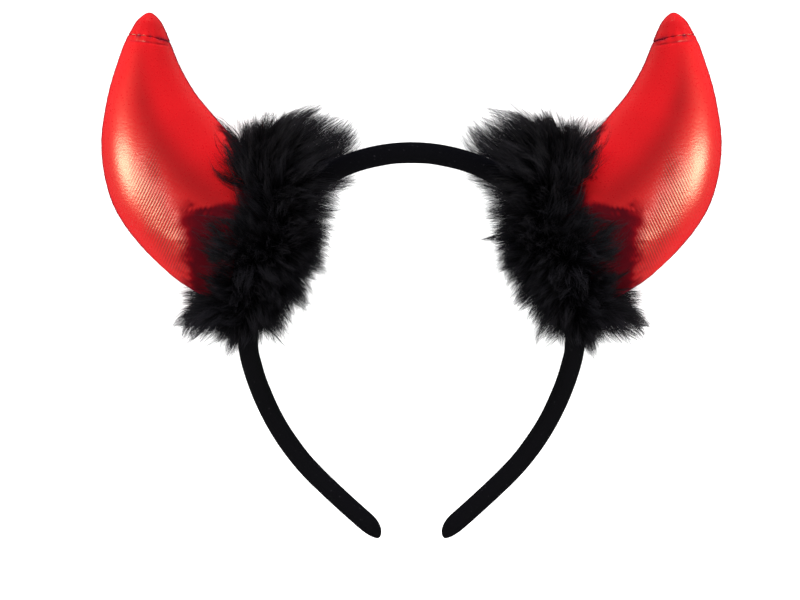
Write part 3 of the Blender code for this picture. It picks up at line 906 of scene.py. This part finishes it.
def sideStep(normal, size, dice):
    # A random step square to the normal
    step = dice.normal(0.0, 1.0, normal.shape)
    return (step - normal * (step * normal).sum(axis=1)[:, None]) * size


def spreadGuides(side, count, sway, dice):
    # Guide hairs: where they start and stand, and how they lean and bend
    along, angle = spreadOver(side, count, dice)
    normal = furNormals(side, along, angle)[0]
    outward, upward = furAxes(side)
    inside = np.clip(-normal @ outward, 0.0, 1.0)
    return {
        "surface": furPoints(side, along, angle),
        "root": furPoints(side, along * rootAlong, angle, rootReach),
        "normal": normal,
        "lean": sideStep(normal, sway, dice) - upward * (inside * clumps["droop"])[:, None],
        "along": along,
        "bend": sideStep(normal, clumps["bend"], dice),
        "past": dice.uniform(0.55, 1.0, count),
    }


def makeTufts(side, dice):
    # Small tufts that come together towards the tips of the locks and end at the outline
    locks = spreadGuides(side, clumps["locks"], clumps["sway"], dice)
    tufts = spreadGuides(side, clumps["tufts"], clumps["tuftSway"], dice)
    count = clumps["tufts"]
    lock = nearestOf(locks["surface"], tufts["surface"])
    least, most = clumps["past"]
    front = 0.65 + 1.1 * np.clip(1.0 - np.abs(tufts["normal"][:, 2]), 0.0, 1.0)
    past = (least + (most - least) * tufts["past"] * (0.3 + 0.7 * locks["past"][lock]) * 1.18) * front
    follow = clumps["follow"]
    tufts["lean"] += locks["lean"][lock] + (locks["surface"][lock] - tufts["surface"]) * follow
    tufts["normal"] = tufts["normal"] * (1.0 - follow) + locks["normal"][lock] * follow
    tufts["bend"] += locks["bend"][lock]
    share = np.clip((np.abs(tufts["along"]) - 0.35) / 0.65, 0.0, 1.0) ** 1.5
    fan = share * np.where(tufts["along"] > 0.0, clumps["fan"][1], -clumps["fan"][0])
    tip = tufts["surface"] + tufts["normal"] * past[:, None] + tufts["lean"]
    tip = tip + furAxes(side)[1] * fan[:, None]
    short = clumps["shorter"] * dice.uniform(0.0, 1.0, count) ** 0.8
    ends = trimToOutline(side, np.stack((tufts["root"], tip), axis=1), short)
    tip, notch = drawToPoints(side, ends[:, 1], furEdge(dice))
    alone = dice.uniform(0.0, 1.0, count) < spikes["long"]
    short += notch - spikes["longReach"] * dice.uniform(0.4, 1.6, count) * alone
    tufts["tip"] = trimToOutline(side, np.stack((tufts["root"], tip), axis=1), short)[:, 1]
    tufts["length"] = np.linalg.norm(tufts["tip"] - tufts["root"], axis=1)
    return tufts


def nearestOf(places, queries):
    tree = KDTree(len(places))
    for index, place in enumerate(places):
        tree.insert(place, index)
    tree.balance()
    return np.array([tree.find(query)[1] for query in queries])


def strandLines(side, kind, tufts, dice):
    # Each strand leaves the roll straight and is drawn in towards the point of its tuft
    count = kind["count"]
    along, angle = spreadOver(side, count, dice)
    normal = furNormals(side, along, angle)[0]
    outer = furPoints(side, along, angle)
    root = furPoints(side, along * rootAlong, angle, rootReach)
    tuft = nearestOf(tufts["surface"], outer)
    length = tufts["length"][tuft][:, None]
    toward = outer + normal * aimPast - root
    toward /= np.linalg.norm(toward, axis=1, keepdims=True)
    tip = root + toward * length * dice.uniform(0.82, 1.02, (count, 1)) + sideStep(normal, 1.0 * mm, dice)
    middle = root + normal * length * 0.5 + sideStep(normal, clumps["bend"], dice) * length * 0.6
    tuftTip = tufts["tip"][tuft] + dice.normal(0.0, clumps["frizz"], (count, 3))
    tuftRoot = tufts["root"][tuft]
    tuftMiddle = tuftRoot + (tufts["normal"][tuft] * 0.5 + tufts["bend"][tuft] * 0.5) * length
    cut = kind["inside"] + kind["thinning"] * dice.uniform(0.0, 1.0, (count, 1)) ** 0.6
    keep = np.clip(1.0 - cut / length, 0.25, 1.0)
    part = np.linspace(0.0, 1.0, kind["segments"] + 1)[None, :] * keep
    own = curve(root, middle, tip, part)
    drawn = curve(tuftRoot, tuftMiddle, tuftTip, part)
    share = (kind["gather"] * part ** 1.3)[:, :, None]
    return own * (1.0 - share) + drawn * share


def furEdge(dice):
    # The outline in the fur's own frame, with where the points of hair stand along it
    step = 0.25
    low = np.arange(-16.0, 23.0, step)
    over = np.arange(-28.0, 34.0, step)
    high = np.arange(46.0, -14.0, -step)
    head = np.arange(42.0, -32.0, -step)
    along = np.concatenate((np.interp(low, lowerEnd["out"], lowerEnd["along"]), over,
                            np.interp(high, upperEnd["out"], upperEnd["along"]), head)) * mm
    out = np.concatenate((low, np.interp(over, overHorn["along"], overHorn["out"]),
                          high, np.interp(head, headSide["along"], headSide["out"]))) * mm
    line = np.stack((along, out), axis=-1)
    reach = np.concatenate(([0.0], np.cumsum(np.linalg.norm(np.diff(line, axis=0), axis=1))))
    ahead = np.gradient(line, axis=0)
    ahead /= np.maximum(np.linalg.norm(ahead, axis=1, keepdims=True), 1e-9)
    least, most = spikes["apart"]
    places = np.cumsum(dice.uniform(least, most, int(reach[-1] / least)))
    groups = places / spikes["groups"]
    swell = np.abs(((groups + 0.25 * np.sin(groups)) % 1.0) * 2.0 - 1.0)
    return {
        "line": line,
        "reach": reach,
        "ahead": ahead,
        "places": places,
        "uneven": dice.uniform(0.0, spikes["uneven"], len(places)) + spikes["groupNotch"] * swell,
        "slant": dice.normal(0.0, spikes["slant"], len(places)),
    }


def drawToPoints(side, tip, edge):
    # Draws the tufts near the outline to the nearest point of hair, and tells how much
    # shorter each is for lying in a notch
    outward, upward = furAxes(side)
    offset = tip - hornSeat(side)
    flat = np.stack((offset @ upward, offset @ outward, np.zeros(len(tip))), axis=-1)
    line = np.concatenate((edge["line"], np.zeros((len(edge["line"]), 1))), axis=1)
    spot = nearestOf(line, flat)
    place = edge["reach"][spot]
    upper = np.clip(np.searchsorted(edge["places"], place), 1, len(edge["places"]) - 1)
    first, second = edge["places"][upper - 1], edge["places"][upper]
    chosen = np.where(place - first < second - place, upper - 1, upper)
    offset = edge["places"][chosen] - place
    share = np.clip(np.abs(offset) / ((second - first) / 2.0), 0.0, 1.0)
    notch = spikes["notch"] * share ** 1.2 * (second - first) / spikes["apart"][1] + edge["uneven"][chosen]
    near = 1.0 - np.clip(np.linalg.norm(flat - line[spot], axis=1) / spikes["near"], 0.0, 1.0)
    step = (offset * spikes["pull"] + edge["slant"][chosen]) * near
    ahead = edge["ahead"][spot]
    return tip + upward * (ahead[:, 0] * step)[:, None] + outward * (ahead[:, 1] * step)[:, None], notch


def shareInside(root, tip, limit):
    # How much of a strand stays inside a limit
    share = np.clip((limit - root) / np.maximum(tip - root, 1e-6), 0.12, 1.0)
    return np.where(tip > limit, share, 1.0)


def trimToOutline(side, lines, short):
    # Shortens the strands whose tips pass the outline, each in its own direction
    outward, upward = furAxes(side)
    ends = lines[:, (0, -1)] - hornSeat(side)
    out, along = ends @ outward, ends @ upward
    tipOut, tipAlong = out[:, 1] / mm, along[:, 1] / mm
    low = -np.interp(tipOut, lowerEnd["out"], lowerEnd["along"]) * mm - short
    high = np.interp(tipOut, upperEnd["out"], upperEnd["along"]) * mm - short
    over = np.interp(tipAlong, overHorn["along"], overHorn["out"]) * mm - short
    head = -np.interp(tipAlong, headSide["along"], headSide["out"]) * mm - short
    share = shareInside(-along[:, 0], -along[:, 1], low)
    share = np.minimum(share, shareInside(along[:, 0], along[:, 1], high))
    overShare = shareInside(out[:, 0], out[:, 1], over)
    share = np.minimum(share, np.where(tipAlong < overHornTo, overShare, 1.0))
    headShare = shareInside(-out[:, 0], -out[:, 1], head)
    beside = np.abs(tipAlong - headSideMiddle) < headSideHalf
    share = np.minimum(share, np.where(beside, headShare, 1.0))
    return lines[:, :1] + (lines - lines[:, :1]) * share[:, None, None]


def bandMiddle(side):
    # Points along one half of the band's middle line, with their shares
    share = np.linspace(0.0, 1.0, 400)
    across, down, turn = walk(bandLine, band["halfLength"], share)
    return flatVectors(side * across, crownY - down), share


def overBand(side, points, wander=0.0):
    # How far each point is from the band sideways, and whether the band shows there
    line, share = bandMiddle(side)
    flat = points.reshape(-1, 3) * np.array((1.0, 1.0, 0.0))
    nearest = nearestOf(line, flat)
    away = np.linalg.norm(flat - line[nearest], axis=1).reshape(points.shape[:-1])
    place = share[nearest].reshape(points.shape[:-1]) + wander
    shows = (place < bandShows[0]) | (place > bandShows[1])
    return away, shows


def pushClear(lines, tree, low, high, gap):
    # Points inside a neighbour move out to just over its surface
    flat = lines.reshape(-1, 3)
    near = np.all((flat > np.array(low) - gap) & (flat < np.array(high) + gap), axis=1)
    for index in np.nonzero(near)[0]:
        place, normal, face, distance = tree.find_nearest(Vector(flat[index]))
        if (Vector(flat[index]) - place).dot(normal) < gap:
            flat[index] = place + normal * gap
    return flat.reshape(lines.shape)


def treeOf(item):
    corners = np.array([vertex.co[:] for vertex in item.data.vertices])
    faces = [list(face.vertices) for face in item.data.polygons]
    return BVHTree.FromPolygons(corners.tolist(), faces), corners.min(axis=0), corners.max(axis=0)


def ribbonObject(name, lines, kind, dice, material):
    # Flat tapering ribbons, each turned its own way round, ending in a point
    count, steps = lines.shape[:2]
    ahead = np.gradient(lines, axis=1)
    side = np.cross(ahead, dice.normal(0.0, 1.0, (count, 1, 3)))
    side /= np.maximum(np.linalg.norm(side, axis=-1, keepdims=True), 1e-12)
    part = np.linspace(0.0, 1.0, steps)
    width = (kind["root"] + (kind["tip"] - kind["root"]) * part)[None, :, None] / 2.0
    left, right = (lines - side * width)[:, :-1], (lines + side * width)[:, :-1]
    body = np.stack((left, right), axis=2).reshape(count, -1, 3)
    points = np.concatenate((body, lines[:, -1:]), axis=1)
    each = points.shape[1]
    first = np.arange(count)[:, None] * each
    row = np.arange(steps - 2)[None, :] * 2
    quads = np.stack([first + row, first + row + 1, first + row + 3, first + row + 2], axis=-1)
    quads = quads.reshape(-1, 4)
    last = (first + each - 3).ravel()
    ends = np.stack([last, last + 1, last + 2], axis=-1)
    item = makeObject(name, points, quads.tolist() + ends.tolist(), material, False)
    thinned = np.concatenate((np.repeat(part[:-1], 2), part[-1:])) ** 5
    keepAttribute(item, "tip", np.tile(thinned, count))
    return item


def corePoints(side, value, angle):
    inFront = np.clip(np.sin(angle) / 0.3, 0.0, 1.0) * np.clip(np.cos(angle) / 0.3, 0.0, 1.0)
    end = math.sqrt(1.0 - abs(value) ** core["roundness"])
    reach = (core["reach"] + core["front"] * inFront) * end
    along = np.full(len(angle), value * core["along"])
    middle = furPoints(side, along, angle, 0.0)
    return middle + (furPoints(side, along, angle, 1.0) - middle) * reach[:, None], middle


def makeFurCore(word, side, material):
    # The dense dark heart, coloured as painted shade for the depth of the fur, that stops the light between
    # the strands
    angle = 2.0 * math.pi * np.arange(core["points"]) / core["points"]
    stations = np.sin(np.linspace(-1.0, 1.0, core["points"]) * math.pi / 2.0) * 0.995
    pairs = [corePoints(side, value, angle) for value in stations]
    flat = np.array([pair[0] for pair in pairs]).reshape(-1, 3)
    heart = np.array([pair[1] for pair in pairs]).reshape(-1, 3)
    lumps = softNoise(flat, core["lumpSize"], 1.3)
    away = flat - heart
    away /= np.maximum(np.linalg.norm(away, axis=1, keepdims=True), 1e-9)
    flat = flat + away * (lumps * core["lump"])[:, None]
    flat[:, 2] = np.maximum(flat[:, 2], floorGap)
    away, shows = overBand(side, flat)
    under = middleZ - bandUnder + np.maximum(away - 6.0 * mm, 0.0) * 2.5
    flat[:, 2] = np.where(shows, np.minimum(flat[:, 2], np.maximum(under, floorGap)), flat[:, 2])
    item = loft("fur_core_" + word, flat.reshape(len(stations), len(angle), 3), material)
    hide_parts("fur_" + word)
    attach(item, "root")
    return item


def makeFur(word, side, material, coreShadeMaterial, neighbours):
    dice = np.random.default_rng(11)
    makeFurCore(word, side, coreShadeMaterial)
    tufts = makeTufts(side, dice)
    for name, kind in strands.items():
        lines = strandLines(side, kind, tufts, dice)
        lines[:, :, 2] = np.maximum(lines[:, :, 2], floorGap)
        away, shows = overBand(side, lines, dice.normal(0.0, bandWander, (len(lines), 1)))
        blocks = shows & (away < bandClear) & (lines[:, :, 2] > middleZ - bandUnder)
        lines = lines[~blocks.any(axis=1)]
        for tree, low, high in neighbours:
            lines = pushClear(lines, tree, low, high, clothGap)
        item = ribbonObject("fur_" + name + "_" + word, lines, kind, dice, material)
        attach(item, "root")


# Floor, lights and camera

studio = {
    "world": 0.36,
    "floor": "#f6f6f6",
    "floorHalf": 3.0,
    "floorLevel": -0.2 * mm,    # just under what lies on it
    "aim": (85.0 * mm, 40.0 * mm, 30.0 * mm),
    "away": 1.1,
    "fillAim": (0.0, 0.03, 0.03),
}
# Softboxes for the outer flank of each horn. Azimuth is in degrees above straight
# sideways, rise in degrees above level, and glow is the box's radiance.
softboxes = (
    {"name": "key", "azimuth": -6.0, "rise": 31.0, "wide": 0.42, "tall": 0.50, "glow": 17.0,
     "colour": (1.0, 0.95, 0.82)},
    {"name": "low", "azimuth": -14.0, "rise": 56.0, "wide": 0.24, "tall": 0.24, "glow": 10.0,
     "colour": (0.80, 0.86, 1.0)},
)
# Plain fills that make no highlight: one from behind the crown for the inner flanks, and
# a weak one from the band's ends for the lower flanks
fills = (
    {"name": "top_fill", "place": (0.0, 1.60, 0.55), "wide": 1.2, "tall": 0.4, "watts": 53.0},
    {"name": "low_fill", "place": (0.0, -1.60, 0.35), "wide": 1.2, "tall": 0.4, "watts": 22.0},
)
# Light for the floor alone, from straight above, so that its shadows stay faint
floorWash = {"place": (0.0, 0.0, 2.6), "wide": 3.0, "tall": 3.0, "watts": 240.0}


def makeFloor():
    material, tree, shader = newMaterial("pale_floor")
    shader.inputs["Base Color"].default_value = linear(studio["floor"])
    shader.inputs["Roughness"].default_value = 0.9
    shader.inputs["Specular IOR Level"].default_value = 0.1
    half, level = studio["floorHalf"], studio["floorLevel"]
    corners = [(-half, -half, level), (half, -half, level), (half, half, level), (-half, half, level)]
    item = makeObject("floor", corners, [[0, 1, 2, 3]], material, False)
    item.visible_glossy = False     # keeps the white floor out of the satin's reflections
    return item


def addSoftbox(name, place, aim, wide, tall, watts, colour):
    data = bpy.data.lights.new(name, "AREA")
    data.energy = watts
    data.color = colour
    data.shape = "RECTANGLE"
    data.size = wide
    data.size_y = tall
    item = bpy.data.objects.new(name, data)
    item.location = place
    item.rotation_euler = (aim - place).to_track_quat("-Z", "Y").to_euler()
    bpy.context.scene.collection.objects.link(item)
    return item


def gatherLit(name, leftOut):
    # A collection of the pieces that a light reaches
    lit = bpy.data.collections.new(name)
    for item in bpy.context.scene.objects:
        if item.type == "MESH" and not item.name.endswith(leftOut):
            lit.objects.link(item)
    return lit


def makeLights():
    world = bpy.data.worlds.new("studio")
    world.use_nodes = True
    world.node_tree.nodes["Background"].inputs["Color"].default_value = (1.0, 1.0, 1.0, 1.0)
    world.node_tree.nodes["Background"].inputs["Strength"].default_value = studio["world"]
    world.cycles_visibility.glossy = False
    bpy.context.scene.world = world
    pieces = gatherLit("lit_by_fills", "floor")
    for fill in fills:
        item = addSoftbox(fill["name"], Vector(fill["place"]), Vector(studio["fillAim"]),
                          fill["wide"], fill["tall"], fill["watts"], (1.0, 1.0, 1.0))
        item.visible_glossy = False
        item.light_linking.receiver_collection = pieces
    wash = addSoftbox("floor_wash", Vector(floorWash["place"]), Vector((0.0, 0.0, 0.0)), floorWash["wide"],
                      floorWash["tall"], floorWash["watts"], (1.0, 1.0, 1.0))
    floorOnly = bpy.data.collections.new("lit_by_wash")
    floorOnly.objects.link(bpy.data.objects["floor"])
    wash.light_linking.receiver_collection = floorOnly
    for word, side in sides.items():
        # The left boxes light the left half and the right ones the right half, so that
        # each horn has its highlight on the outer flank alone
        lit = gatherLit("lit_" + word, ("left" if word == "right" else "right", "floor"))
        aim = Vector(studio["aim"]) * Vector((side, 1.0, 1.0))
        for box in softboxes:
            azimuth, rise = math.radians(box["azimuth"]), math.radians(box["rise"])
            toward = Vector((side * math.cos(azimuth) * math.cos(rise),
                             math.sin(azimuth) * math.cos(rise), math.sin(rise)))
            watts = box["glow"] * math.pi * box["wide"] * box["tall"]
            item = addSoftbox(box["name"] + "_softbox_" + word, aim + toward * studio["away"],
                              aim, box["wide"], box["tall"], watts, box["colour"])
            item.light_linking.receiver_collection = lit


view = {
    "height": 1.5,              # camera over the middle of the headband
    "metresPerPixel": 0.38 * mm,
    "frameWidth": 800,
    "centreX": 411.5,           # where the headband's middle is in the photo's frame
    "centreY": 274.7,
    "frameMiddle": (400.0, 300.0),
}


def makeCamera():
    data = bpy.data.cameras.new("camera")
    width = view["frameWidth"] * view["metresPerPixel"]
    data.sensor_width = 36.0
    data.lens = data.sensor_width * view["height"] / width
    item = bpy.data.objects.new("camera", data)
    right = (view["frameMiddle"][0] - view["centreX"]) * view["metresPerPixel"]
    down = (view["frameMiddle"][1] - view["centreY"]) * view["metresPerPixel"]
    item.location = (right, -down, middleZ + view["height"])
    bpy.context.scene.collection.objects.link(item)
    bpy.context.scene.camera = item
    bpy.context.scene.view_settings.view_transform = "Standard"


makeFloor()
makeCamera()
print("stage: floor and camera")

satin = polyesterSatin()
cloth = knitCloth()
down = dyed("black_down", downLook)
coreShadeMaterial = dyed("black_felt", coreShadeLook)
thread = dyed("red_thread", threadLook)
bandCover = makeBand(cloth)
print("stage: band")

hornSkins = {}
for word, side in sides.items():
    hornSkins[word] = makeHorn(word, side, satin)
    makeHornTip(word, side, satin)
    makeStitches(word, side, thread)
print("stage: horns")

bandTree = treeOf(bandCover)
for word, side in sides.items():
    makeFur(word, side, down, coreShadeMaterial, [treeOf(hornSkins[word]), bandTree])
print("stage: fur")

makeLights()
print("stage: lights")
